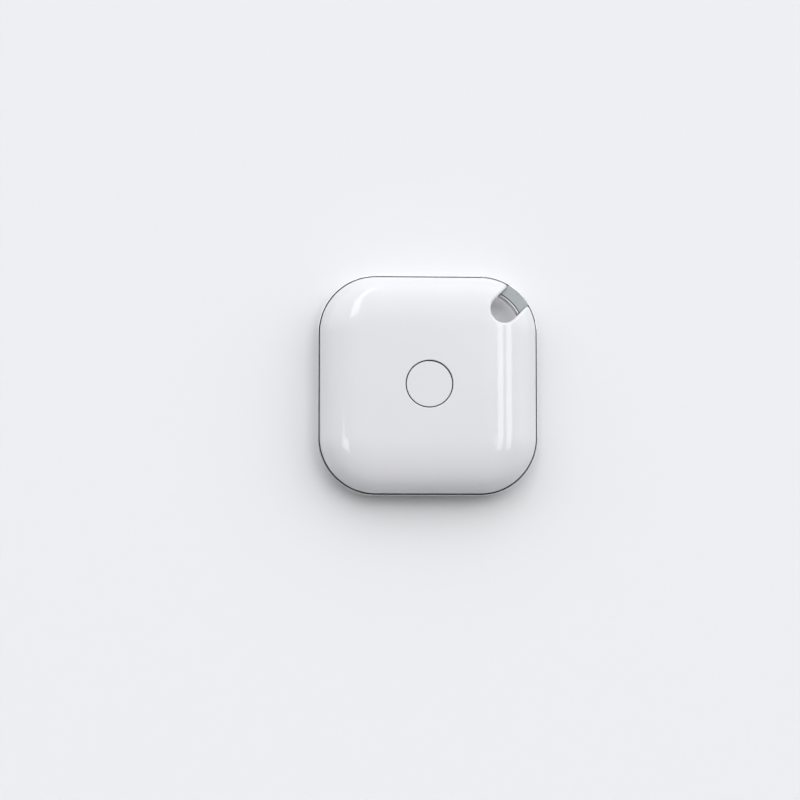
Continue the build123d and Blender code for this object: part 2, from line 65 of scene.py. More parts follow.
MM = 0.001
SCENE = bpy.context.scene

# ================================ camera ================================
# The camera looks almost straight down on the face, leaning a little to the -X -Y side.
CAMERA_AZIMUTH = radians(-45)
CAMERA_TILT = radians(5.7)
CAMERA_DISTANCE = 0.4
CAMERA_LENS = 107.06
AIM_OFFSET = Vector((-4.69, -2.48, 0)) * MM  # the tag stands right of the picture's middle, and above it


def add_camera():
    low, high = cad_bounds
    centre = (low + high) / 2
    lean = sin(CAMERA_TILT)
    toward = Vector((sin(CAMERA_AZIMUTH) * lean, -cos(CAMERA_AZIMUTH) * lean, cos(CAMERA_TILT)))
    place = centre + toward * CAMERA_DISTANCE
    back = (place - centre - AIM_OFFSET).normalized()
    up = (Vector((0, 1, 0)) - back * back.y).normalized()
    right = up.cross(back)
    camera = bpy.data.objects.new("camera", bpy.data.cameras.new("camera"))
    SCENE.collection.objects.link(camera)
    camera.data.lens = CAMERA_LENS
    camera.data.sensor_width = 36
    camera.data.clip_start = 0.01
    camera.matrix_world = Matrix.Translation(place) @ Matrix((right, up, back)).transposed().to_4x4()
    SCENE.camera = camera


# ================================ light and floor ================================
WALL_TOP = (0.15, 0.3)  # the walls fade out between these heights, as the Z part of a direction


class Room:
    """The studio as the world's light: soft panels overhead and a pale back, added together.

    A direction is given as two angles in degrees from straight up, towards +X and towards +Y. On a
    ceiling one unit above the tag, that direction meets the ceiling at the angles' tangents."""

    def __init__(self):
        world = bpy.data.worlds.new("room")
        SCENE.world = world
        world.use_nodes = True
        self.tree = world.node_tree
        self.tree.nodes.clear()
        coordinates = self.tree.nodes.new("ShaderNodeTexCoord")
        split = self.tree.nodes.new("ShaderNodeSeparateXYZ")
        self.tree.links.new(coordinates.outputs["Generated"], split.inputs["Vector"])
        self.x, self.y, self.z = split.outputs
        above = self.math("MAXIMUM", self.z, 0.02)
        self.ceiling_x = self.math("DIVIDE", self.x, above)
        self.ceiling_y = self.math("DIVIDE", self.y, above)
        self.total = 0.0

    def math(self, operation, first, second):
        node = self.tree.nodes.new("ShaderNodeMath")
        node.operation = operation
        for socket, value in zip(node.inputs, (first, second)):
            if isinstance(value, bpy.types.NodeSocket):
                self.tree.links.new(value, socket)
            else:
                socket.default_value = value
        return node.outputs[0]

    def smooth(self, value, start, end, low=0.0, high=1.0):
        """A smooth step from low, where value is at start, to high, where it is at end."""
        node = self.tree.nodes.new("ShaderNodeMapRange")
        node.interpolation_type = "SMOOTHSTEP"
        for socket, number in (("From Min", start), ("From Max", end), ("To Min", low), ("To Max", high)):
            node.inputs[socket].default_value = number
        self.tree.links.new(value, node.inputs["Value"])
        return node.outputs["Result"]

    def add(self, light):
        self.total = self.math("ADD", self.total, light)

    def panel(self, radiance, start, end, breadth, side_blur=0.03, start_blur=0.03, end_blur=0.03):
        """A flat panel on the ceiling: from one direction to another, and as broad as this many degrees."""
        (x0, y0), (x1, y1) = ([tan(radians(angle)) for angle in direction] for direction in (start, end))
        length = hypot(x1 - x0, y1 - y0)
        along = ((x1 - x0) / length, (y1 - y0) / length)
        right = self.math("SUBTRACT", self.ceiling_x, x0)
        ahead = self.math("SUBTRACT", self.ceiling_y, y0)
        distance = self.math(
            "ADD", self.math("MULTIPLY", right, along[0]), self.math("MULTIPLY", ahead, along[1])
        )
        offset = self.math(
            "SUBTRACT", self.math("MULTIPLY", ahead, along[0]), self.math("MULTIPLY", right, along[1])
        )
        aside = self.math("ABSOLUTE", offset, 0.0)
        half = tan(radians(breadth)) / 2
        light = self.smooth(distance, -start_blur, start_blur, 0.0, radiance)
        before_end = self.smooth(distance, length - end_blur, length + end_blur, 1.0, 0.0)
        within_sides = self.smooth(aside, half - side_blur, half + side_blur, 1.0, 0.0)
        self.add(self.math("MULTIPLY", self.math("MULTIPLY", light, before_end), within_sides))

    def finish(self, color, walls):
        """All that was added lies overhead, and low down the walls are one even tone."""
        overhead = self.math("MULTIPLY", self.total, self.smooth(self.z, *WALL_TOP))
        strength = self.math("ADD", overhead, self.smooth(self.z, *WALL_TOP, walls, 0.0))
        background = self.tree.nodes.new("ShaderNodeBackground")
        background.inputs["Color"].default_value = (*color, 1)
        self.tree.links.new(strength, background.inputs["Strength"])
        output = self.tree.nodes.new("ShaderNodeOutputWorld")
        self.tree.links.new(background.outputs["Background"], output.inputs["Surface"])


def light_room():
    """Radiances are in the renderer's units; every direction is in degrees from straight up."""
    room = Room()
    # The room is pale behind the tag, dim before it, and a little brighter at the far right.
    room.add(0.09)
    room.add(room.smooth(room.y, -0.1, 0.3, 0.0, 1.48))
    room.add(room.smooth(room.x, 0.45, 0.85, 0.0, 0.5))
    # Three soft panels overhead give the face its fall of light from the back to the front.
    room.panel(0.2, (7, 4), (7, 62), 94, side_blur=0.15, start_blur=0.045, end_blur=0.3)
    room.panel(0.45, (26, 2), (26, 62), 54, side_blur=0.06, start_blur=0.07, end_blur=0.3)
    room.panel(1.05, (8.5, 4.2), (8.5, 14), 7, side_blur=0.04, start_blur=0.03, end_blur=0.05)
    # Two tall lamps at the right show as a pair of strips down the tag's right shoulder.
    room.panel(3.3, (12.9, -3), (12.9, 30), 4.6, side_blur=0.01)
    room.panel(3.2, (21.6, -5), (21.6, 30), 7.4, side_blur=0.01)
    # A bent lamp at the back left follows the upper left corner, and small ones light the lower corners.
    room.panel(3.6, (-11.5, 14.5), (-14.7, 34), 8.0, side_blur=0.02)
    room.panel(3.6, (-14.7, 34), (1.7, 55), 8.0, side_blur=0.02)
    room.panel(3.5, (-24, -1), (-15, -4.5), 10.0, side_blur=0.006, start_blur=0.006, end_blur=0.006)
    room.panel(3.6, (8.6, 1.4), (10.2, 1.4), 1.4, side_blur=0.004, start_blur=0.004, end_blur=0.004)
    room.finish((0.975, 0.98, 1.0), walls=0.68)


def add_floor():
    half = 3.0
    mesh = bpy.data.meshes.new("floor")
    corners = [(-half, -half, 0), (half, -half, 0), (half, half, 0), (-half, half, 0)]
    mesh.from_pydata(corners, [], [(0, 1, 2, 3)])
    floor = bpy.data.objects.new("floor", mesh)
    SCENE.collection.objects.link(floor)
    material = bpy.data.materials.new("floor")
    material.use_nodes = True
    shader = material.node_tree.nodes["Principled BSDF"]
    shader.inputs["Base Color"].default_value = (0.80, 0.80, 0.805, 1)
    shader.inputs["Roughness"].default_value = 0.7
    mesh.materials.append(material)


# ================================ places in the frame ================================


def low_corner(node):
    """A CAD node's lowest corner, in millimetres."""
    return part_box(node)[0] / MM


def high_corner(node):
    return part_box(node)[1] / MM


def solids_of(node):
    """The lowest and highest corners of each separate solid in a CAD node, in millimetres."""
    mesh = NODES[node].data
    places = [tuple(round(value / MM, 4) for value in vertex.co) for vertex in mesh.vertices]
    leader = {place: place for place in places}

    def first(place):
        while leader[place] != place:
            place = leader[place]
        return place

    for face in mesh.polygons:
        corner = first(places[face.vertices[0]])
        for index in face.vertices[1:]:
            leader[first(places[index])] = corner
    groups = {}
    for place in leader:
        groups.setdefault(first(place), []).append(place)
    return [
        (Vector([min(axis) for axis in zip(*group)]), Vector([max(axis) for axis in zip(*group)]))
        for _, group in sorted(groups.items())
    ]


# ================================ materials ================================


class Finish:
    """A principled material with procedural variation on the object's own coordinates."""

    def __init__(self, name, color, roughness, metallic=0.0, **sockets):
        self.material = bpy.data.materials.new(name)
        self.material.use_nodes = True
        self.tree = self.material.node_tree
        self.shader = self.tree.nodes["Principled BSDF"]
        self.color = color
        self.set("Base Color", (*color, 1))
        self.set("Roughness", roughness)
        self.set("Metallic", metallic)
        for socket, value in sockets.items():
            self.set(socket.replace("_", " "), value)
        self.place = self.tree.nodes.new("ShaderNodeTexCoord").outputs["Object"]
        self.paint = None
        self.height = None

    def set(self, socket, value):
        self.shader.inputs[socket].default_value = value

    def link(self, source, target):
        self.tree.links.new(source, target)

    def noise(self, size, detail=3.0, stretch=(1, 1, 1), distortion=0.0):
        """Noise whose features are about this size, in millimetres."""
        mapping = self.tree.nodes.new("ShaderNodeMapping")
        mapping.inputs["Scale"].default_value = stretch
        self.link(self.place, mapping.inputs["Vector"])
        node = self.tree.nodes.new("ShaderNodeTexNoise")
        node.inputs["Scale"].default_value = 1 / (size * MM)
        node.inputs["Detail"].default_value = detail
        node.inputs["Distortion"].default_value = distortion
        self.link(mapping.outputs["Vector"], node.inputs["Vector"])
        return node.outputs["Fac"]

    def ranged(self, value, low, high, start=0.3, end=0.7):
        node = self.tree.nodes.new("ShaderNodeMapRange")
        for socket, number in (("From Min", start), ("From Max", end), ("To Min", low), ("To Max", high)):
            node.inputs[socket].default_value = number
        self.link(value, node.inputs["Value"])
        return node.outputs["Result"]

    def tint(self, value, other, start=0.3, end=0.7):
        """Blends the base colour towards another one by a texture's value."""
        mix = self.tree.nodes.new("ShaderNodeMix")
        mix.data_type = "RGBA"
        mix.inputs["A"].default_value = (*self.color, 1)
        if self.paint is not None:
            self.link(self.paint, mix.inputs["A"])
        mix.inputs["B"].default_value = (*other, 1)
        self.link(self.ranged(value, 0, 1, start, end), mix.inputs["Factor"])
        self.paint = mix.outputs["Result"]
        self.link(self.paint, self.shader.inputs["Base Color"])

    def painted_crevice_shade(self, reach, shade_color, start=0.75, end=0.35):
        """Paints shade into the base colour of narrow gaps and inner corners, where the ambient occlusion is
        low: reach is in millimetres.
        """
        node = self.tree.nodes.new("ShaderNodeAmbientOcclusion")
        node.inputs["Distance"].default_value = reach * MM
        self.tint(node.outputs["AO"], shade_color, start, end)

    def upward(self):
        """The Z part of the surface's direction: 1 on a level face and 0 on an upright one."""
        split = self.tree.nodes.new("ShaderNodeSeparateXYZ")
        coordinates = self.tree.nodes.new("ShaderNodeTexCoord")
        self.link(coordinates.outputs["Normal"], split.inputs["Vector"])
        return split.outputs["Z"]

    def both(self, first, second):
        node = self.tree.nodes.new("ShaderNodeMath")
        node.operation = "MULTIPLY"
        self.link(first, node.inputs[0])
        self.link(second, node.inputs[1])
        return node.outputs[0]

    def rub(self, value, low, high, start=0.3, end=0.7):
        """Varies the roughness between two values by a texture's value."""
        self.link(self.ranged(value, low, high, start, end), self.shader.inputs["Roughness"])

    def relief(self, value, depth, strength=1.0):
        """Raises the surface by up to depth, in millimetres, by a texture's value."""
        bump = self.tree.nodes.new("ShaderNodeBump")
        bump.inputs["Distance"].default_value = depth * MM
        bump.inputs["Strength"].default_value = strength
        self.link(value, bump.inputs["Height"])
        if self.height is not None:
            self.link(self.height, bump.inputs["Normal"])
        self.height = bump.outputs["Normal"]
        self.link(self.height, self.shader.inputs["Normal"])


def gloss_white():
    """Moulded white plastic, polished, with the faint film and hairlines of handling, and painted shade in
    its gaps.
    """
    finish = Finish("gloss_white", (0.70, 0.70, 0.715), 0.05, IOR=1.5)
    finish.tint(finish.noise(9, 2), (0.69, 0.69, 0.707))
    finish.rub(finish.noise(3.5, 4, distortion=0.4), 0.035, 0.065)
    finish.relief(finish.noise(3.0, 1), 0.0004)
    # Painted shade: the gaps round the shell, such as the groove at the trim and the ring round the button,
    # are darkened in the base colour.
    finish.painted_crevice_shade(0.35, (0.03, 0.03, 0.032), 0.85, 0.45)
    return finish.material


def satin_silver():
    """Satin anodised metal with a fine grain, bright-cut rounded edges, and painted shade in its groove and
    inner corners.
    """
    finish = Finish("satin_silver", (0.255, 0.273, 0.278), 0.34, 1.0)
    finish.tint(finish.noise(0.25, 3), (0.225, 0.243, 0.248))
    upward = finish.upward()
    edge = finish.both(finish.ranged(upward, 0, 1, 0.04, 0.12), finish.ranged(upward, 1, 0, 0.93, 0.985))
    finish.tint(edge, (0.90, 0.90, 0.90), 0, 1)
    finish.rub(edge, 0.34, 0.16, 0, 1)
    # Painted shade: the trim's groove and inner corners are darkened in the base colour.
    finish.painted_crevice_shade(0.3, (0.01, 0.01, 0.01), 0.8, 0.45)
    finish.relief(finish.noise(0.08, 2, stretch=(1, 1, 6)), 0.0005)
    return finish.material


def solder_mask():
    """Green lacquer over copper on both faces of the board, and bare glass fibre round its edge."""
    finish = Finish("solder_mask", (0.012, 0.10, 0.045), 0.3, IOR=1.5)
    finish.tint(finish.noise(1.4, 2), (0.02, 0.15, 0.07))
    upward = finish.upward()
    finish.tint(finish.both(upward, upward), (0.30, 0.29, 0.15), 0.6, 0.4)
    finish.rub(finish.noise(0.4), 0.24, 0.4)
    finish.relief(finish.noise(0.3, 2), 0.002)
    return finish.material


def bright_metal(name, color, low, high, grain=0.25):
    finish = Finish(name, color, (low + high) / 2, 1.0)
    finish.tint(finish.noise(grain * 5, 3), tuple(0.86 * c for c in color))
    finish.rub(finish.noise(grain * 2, 3), low, high)
    finish.relief(finish.noise(grain, 3), 0.001)
    return finish.material


def moulded(name, color, roughness, grain=0.12):
    """Moulded plastic, ceramic or foam with a fine skin texture."""
    finish = Finish(name, color, roughness)
    finish.tint(finish.noise(grain * 8, 2), tuple(min(1.0, 1.25 * c + 0.01) for c in color))
    finish.rub(finish.noise(grain * 3, 3), roughness * 0.85, min(1.0, roughness * 1.15))
    finish.relief(finish.noise(grain, 2), grain * 0.04)
    return finish.material


RING_PITCH = 0.15  # between the fine turned rings on the cell, in millimetres


def cell_steel():
    """Nickel-plated steel, turned: fine rings about the coin cell's axis, and scattered handling marks."""
    finish = Finish("cell_steel", (0.64, 0.64, 0.65), 0.24, 1.0)
    finish.tint(finish.noise(1.6, 3), (0.61, 0.61, 0.62))
    centre = (low_corner("cell_can") + high_corner("cell_can")) / 2
    mapping = finish.tree.nodes.new("ShaderNodeMapping")
    mapping.inputs["Location"].default_value = (-centre.x * MM, -centre.y * MM, 0)
    finish.link(finish.place, mapping.inputs["Vector"])
    rings = finish.tree.nodes.new("ShaderNodeTexWave")
    rings.wave_type = "RINGS"
    rings.rings_direction = "Z"
    rings.inputs["Scale"].default_value = pi / (10 * RING_PITCH * MM)  # at 1, its waves are pi / 10 long
    finish.link(mapping.outputs["Vector"], rings.inputs["Vector"])
    finish.rub(finish.noise(0.5, 4), 0.2, 0.28)
    finish.relief(rings.outputs["Fac"], 0.0015)
    return finish.material


def make_metals():
    """The metals that several pieces share."""
    return {
        "steel": bright_metal("nickel_steel", (0.66, 0.66, 0.67), 0.18, 0.34),
        "spring": bright_metal("spring_steel", (0.70, 0.70, 0.72), 0.1, 0.2, 0.12),
        "tinned": bright_metal("tinned_contact", (0.72, 0.71, 0.68), 0.2, 0.36),
        "solder": bright_metal("solder", (0.62, 0.63, 0.65), 0.22, 0.42, 0.08),
        "gold": bright_metal("gold_plate", (0.78, 0.56, 0.24), 0.2, 0.34, 0.1),
        "copper": bright_metal("enamelled_copper", (0.60, 0.22, 0.07), 0.25, 0.4, 0.06),
        "mask": solder_mask(),
        "covered_copper": moulded("covered_copper", (0.035, 0.20, 0.085), 0.3, 0.1),
    }


def dress_nodes(metals):
    """A material for every CAD node that shows."""
    shell = gloss_white()
    trim = satin_silver()
    steel = metals["steel"]
    spring = metals["spring"]
    tinned = metals["tinned"]
    cell = cell_steel()
    black = moulded("black_epoxy", (0.018, 0.018, 0.02), 0.5, 0.06)
    holder = moulded("black_nylon", (0.022, 0.022, 0.024), 0.45, 0.15)
    finishes = {
        "top_cover": shell,
        "back_cover": shell,
        "button_cap": shell,
        "trim_frame": trim,
        "circuit_board": metals["mask"],
        "board_screws": steel,
        "switch_base": black,
        "switch_plate": spring,
        "switch_terminals": tinned,
        "bluetooth_chip": black,
        "buzzer_driver": black,
        "flyback_diode": black,
        "main_crystal": tinned,
        "sleep_crystal": tinned,
        "chip_antenna": moulded("antenna_ceramic", (0.72, 0.72, 0.70), 0.4, 0.06),
        "capacitors": moulded("capacitor_ceramic", (0.36, 0.22, 0.11), 0.4, 0.05),
        "resistors": moulded("resistor_glaze", (0.02, 0.02, 0.022), 0.25, 0.05),
        "inductors": moulded("inductor_ceramic", (0.10, 0.11, 0.13), 0.35, 0.05),
        "buzzer_case": holder,
        "buzzer_yoke": steel,
        "buzzer_magnet": moulded("ferrite", (0.05, 0.05, 0.052), 0.4, 0.05),
        "buzzer_diaphragm": spring,
        "cell_holder": holder,
        "positive_contact": tinned,
        "negative_contact": tinned,
        "cell_can": cell,
        "cell_cap": cell,
        "cell_seal": moulded("cell_nylon", (0.62, 0.60, 0.52), 0.4, 0.1),
        "cell_cathode": moulded("cathode_powder", (0.02, 0.02, 0.02), 0.8, 0.1),
        "cell_anode": bright_metal("lithium", (0.55, 0.55, 0.56), 0.35, 0.5),
    }
    for node, material in finishes.items():
        slots = NODES[node].material_slots
        if slots:
            slots[0].material = material
        else:
            NODES[node].data.materials.append(material)


# ================================ mesh shapes ================================


class Shape:
    """A mesh put together from small solids, in millimetres, that ends as one piece of the object."""

    def __init__(self):
        self.mesh = bmesh.new()

    def block(self, low, high, bevel=0.0):
        """An upright block between two corners, with its edges rounded over."""
        cube = bmesh.new()
        bmesh.ops.create_cube(cube, size=1)
        for vertex in cube.verts:
            vertex.co = [(a + b) / 2 + c * (b - a) for c, a, b in zip(vertex.co, low, high)]
        if bevel:
            bmesh.ops.bevel(cube, geom=cube.edges[:], offset=bevel, segments=2, profile=0.5, affect="EDGES")
        mesh = bpy.data.meshes.new("block")
        cube.to_mesh(mesh)
        cube.free()
        self.mesh.from_mesh(mesh)
        bpy.data.meshes.remove(mesh)

    def prism(self, outline, along):
        """A flat outline, carried along a vector."""
        start = [self.mesh.verts.new(point) for point in outline]
        end = [self.mesh.verts.new(Vector(point) + along) for point in outline]
        self.mesh.faces.new(start[::-1])
        self.mesh.faces.new(end)
        for step in range(len(outline)):
            self.mesh.faces.new((start[step - 1], start[step], end[step], end[step - 1]))

    def ribbon(self, route, width, low_z, high_z):
        """A flat strip of one width along a level route, mitred at its bends."""
        left, right = [], []
        for step, point in enumerate(route):
            before = (Vector(point) - Vector(route[max(step - 1, 0)])).normalized()
            after = (Vector(route[min(step + 1, len(route) - 1)]) - Vector(point)).normalized()
            heading = (before + after).normalized()
            reach = width / 2 / max(heading.dot(after if after.length else before), 0.5)
            aside = Vector((-heading.y, heading.x)) * reach
            left.append(Vector(point) + aside)
            right.append(Vector(point) - aside)
        self.prism([(*point, low_z) for point in left + right[::-1]], Vector((0, 0, high_z - low_z)))

    def outline(self, low, high, width, low_z, high_z):
        """A thin rectangular frame, outside the box from low to high."""
        for x in (low.x - width, high.x):
            self.block((x, low.y - width, low_z), (x + width, high.y + width, high_z))
        for y in (low.y - width, high.y):
            self.block((low.x, y, low_z), (high.x, y + width, high_z))

    def turned(self, centre, profile, steps=64):
        """A solid turned about an upright axis, from a closed profile of (radius, height) points."""
        rings = []
        for radius, height in profile:
            count = steps if radius > 0 else 1
            angles = [2 * pi * step / steps for step in range(count)]
            rings.append(
                [
                    self.mesh.verts.new((centre[0] + radius * cos(a), centre[1] + radius * sin(a), height))
                    for a in angles
                ]
            )
        for one, other in zip(rings, rings[1:] + rings[:1]):
            for step in range(steps):
                corners = [one[step % len(one)], one[(step + 1) % len(one)]]
                corners += [other[(step + 1) % len(other)], other[step % len(other)]]
                corners = list(dict.fromkeys(corners))
                if len(corners) > 2:
                    self.mesh.faces.new(corners)

    def finish(self, name, body, slot, material):
        bmesh.ops.recalc_face_normals(self.mesh, faces=self.mesh.faces)
        bmesh.ops.scale(self.mesh, vec=(MM, MM, MM), verts=self.mesh.verts)
        mesh = bpy.data.meshes.new(name)
        self.mesh.to_mesh(mesh)
        self.mesh.free()
        mesh.shade_smooth()
        mesh.set_sharp_from_angle(angle=radians(38))
        mesh.materials.append(material)
        piece = bpy.data.objects.new(name, mesh)
        SCENE.collection.objects.link(piece)
        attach(piece, body)
        return piece


# ================================ soldered parts ================================
PAD_LENGTH = 0.32  # how far a pad reaches past the part that is soldered to it
PAD_HEIGHT = 0.025
CAP_SKIN = 0.02  # end caps stand this far proud of a chip


class Board:
    """One side of the circuit board: the height of its face, and which way is up from it."""

    def __init__(self, below=False):
        self.up = -1 if below else 1
        self.face = low_corner("circuit_board").z if below else high_corner("circuit_board").z

    def span(self, low, high):
        """Heights above this face, as the low and high Z that they come to."""
        return sorted((self.face + self.up * low, self.face + self.up * high))

    def pad(self, shape, centre, along, length, width, height=PAD_HEIGHT):
        """A flat pad: length is along one of the two level axes, 0 or 1."""
        size = [width, width]
        size[along] = length
        low_z, high_z = self.span(0, height)
        low = (centre[0] - size[0] / 2, centre[1] - size[1] / 2, low_z)
        shape.block(low, (centre[0] + size[0] / 2, centre[1] + size[1] / 2, high_z), 0.008)

    def fillet(self, shape, foot, outward, width, rise, reach=PAD_LENGTH * 0.85):
        """Solder that climbs from the pad up the end of a part, in a hollow curve. foot is the
        middle of the part's end, on the board, and outward is the way that the end faces."""
        outward = Vector((*outward, 0))
        across = Vector((-outward.y, outward.x, 0))
        corner = Vector((*foot, self.face)) - across * width / 2
        up = Vector((0, 0, self.up))
        inside = -outward * 0.02
        curve = [
            corner + outward * reach * (1 - sin(turn)) + up * (rise * (1 - cos(turn)) + PAD_HEIGHT)
            for turn in (pi / 2 * step / 6 for step in range(7))
        ]
        shape.prism([corner + inside, corner + outward * reach, *curve, curve[-1] + inside], across * width)


def end_faces(low, high):
    """Both short ends of a chip: its long axis, and each end's middle and the way it faces."""
    along = 0 if high.x - low.x > high.y - low.y else 1
    middle = (low + high) / 2
    for corner, sign in ((low, -1), (high, 1)):
        place = [middle.x, middle.y]
        place[along] = corner[along]
        outward = [0, 0]
        outward[along] = sign
        yield along, place, outward


def add_end_caps(board, caps, solder, node, share):
    """Metal end caps on each chip of a node, with solder up their ends. share is the part of the
    chip's length that each cap covers."""
    for low, high in solids_of(node):
        width = min(high.x - low.x, high.y - low.y)
        length = max(high.x - low.x, high.y - low.y) * share
        for along, place, outward in end_faces(low, high):
            sign = outward[along]
            inner = place[along] - sign * length
            outer = place[along] + sign * CAP_SKIN
            cap_low = low - Vector((CAP_SKIN, CAP_SKIN, 0))
            cap_high = high + Vector((CAP_SKIN, CAP_SKIN, CAP_SKIN))
            cap_low[along], cap_high[along] = sorted((inner, outer))
            caps.block(cap_low, cap_high, 0.04)
            middle = list(place)
            middle[along] += sign * (PAD_LENGTH - length) / 2
            board.pad(solder, middle, along, PAD_LENGTH + length, width + 0.1)
            foot = list(place)
            foot[along] = outer
            board.fillet(solder, foot, outward, width, 0.6 * (high.z - low.z))


def add_lead(board, leads, solder, root, outward, width, height, reach=0.62, sheet=0.13):
    """A gull-wing lead: out of a chip's side at a height above the board, down, and out to its foot."""
    outward = Vector((*outward, 0))
    across = Vector((-outward.y, outward.x, 0))
    corner = Vector((*root, board.face)) - across * width / 2
    top, knee = height + sheet, reach * 0.42
    side = (
        (-0.1, height), (knee - sheet, height), (knee - 0.3 * sheet, 0.02), (reach, 0.02),
        (reach, 0.02 + sheet), (knee + sheet, 0.02 + sheet), (knee + 0.3 * sheet, top), (-0.1, top),
    )
    outline = [corner + outward * out + Vector((0, 0, board.up * rise)) for out, rise in side]
    leads.prism(outline, across * width)
    tip = Vector(root) + outward.xy * reach
    along = 0 if outward.x else 1
    board.pad(solder, tip - outward.xy * 0.12, along, 0.62, width + 0.16)
    board.fillet(solder, tip, outward.xy, width, 0.1, 0.2)


def add_soldered_parts(metals):
    """End caps, leads, side pads and solder on everything that the board carries."""
    top = Board()
    under = Board(below=True)
    caps, solder, leads = Shape(), Shape(), Shape()
    for node, share in (("capacitors", 0.26), ("resistors", 0.22), ("inductors", 0.2), ("chip_antenna", 0.1)):
        add_end_caps(top, caps, solder, node, share)

    low, high = low_corner("bluetooth_chip"), high_corner("bluetooth_chip")
    middle = (low + high) / 2
    side_pads, pitch, pad_width = 12, 0.4, 0.22
    for step in range(side_pads):
        offset = (step - (side_pads - 1) / 2) * pitch
        for along, sign in ((0, -1), (0, 1), (1, -1), (1, 1)):
            outward = [0, 0]
            outward[along] = sign
            place = [middle.x + offset, middle.y + offset]
            place[along] = (low if sign < 0 else high)[along]
            size = [pad_width / 2, pad_width / 2]
            size[along] = 0.03
            pad_low = (place[0] - size[0], place[1] - size[1], low.z)
            caps.block(pad_low, (place[0] + size[0], place[1] + size[1], low.z + 0.2))
            top.fillet(solder, place, outward, pad_width, 0.14, 0.2)

    inward = 0.35  # the crystals' pads stand this share of the way in from the corners, against 1
    for node in ("main_crystal", "sleep_crystal"):
        low, high = low_corner(node), high_corner(node)
        middle_x, middle_y = (low.x + high.x) / 2, (low.y + high.y) / 2
        for x in (low.x, high.x):
            for y in (low.y, high.y):
                corner = ((x + middle_x * inward) / (1 + inward), (y + middle_y * inward) / (1 + inward))
                top.pad(solder, corner, 0, 0.8, 0.6)
        rim = Vector((0.14, 0.14, 0))
        leads.block(Vector((*(low + rim).xy, high.z)), Vector((*(high - rim).xy, high.z + 0.05)), 0.03)

    for low, high in solids_of("switch_terminals"):
        sign = 1 if low.x > 0 else -1
        tip = (high.x if sign > 0 else low.x, (low.y + high.y) / 2)
        top.pad(solder, ((low.x + high.x) / 2 + sign * 0.15, tip[1]), 0, 1.2, 0.86)
        top.fillet(solder, tip, (sign, 0), high.y - low.y, 0.12, 0.3)

    low, high = low_corner("buzzer_driver"), high_corner("buzzer_driver")
    middle = (low + high) / 2
    for x, y, sign in ((-0.95, low.y, -1), (0.95, low.y, -1), (0, high.y, 1)):
        add_lead(under, leads, solder, (middle.x + x, y), (0, sign), 0.42, 0.42)
    low, high = low_corner("flyback_diode"), high_corner("flyback_diode")
    for x, sign in ((low.x, -1), (high.x, 1)):
        add_lead(under, leads, solder, (x, (low.y + high.y) / 2), (sign, 0), 0.6, 0.36)

    low, high = low_corner("positive_contact"), high_corner("positive_contact")
    middle_y = (low.y + high.y) / 2
    under.fillet(solder, (low.x, middle_y), (-1, 0), high.y - low.y, 0.17, 0.45)
    caps.finish("end_caps", "front_half", "contact_metal", metals["tinned"])
    leads.finish("chip_leads", "front_half", "contact_metal", metals["tinned"])
    solder.finish("solder_joints", "front_half", "contact_metal", metals["solder"])


# ================================ board print ================================
TRACK_WIDTH = 0.22
TRACK_HEIGHT = 0.022
INK_WIDTH = 0.12
INK_HEIGHT = 0.018


def dogleg(start, end):
    """A level route with one bend: straight first, and slanted at 45 degrees for the rest."""
    dx, dy = end[0] - start[0], end[1] - start[1]
    slant = min(abs(dx), abs(dy))
    bend = Vector((end[0] - slant * (1 if dx > 0 else -1), end[1] - slant * (1 if dy > 0 else -1)))
    if (bend - Vector(start)).length < 0.05 or slant < 0.05:
        return [Vector(start), Vector(end)]
    return [Vector(start), bend, Vector(end)]


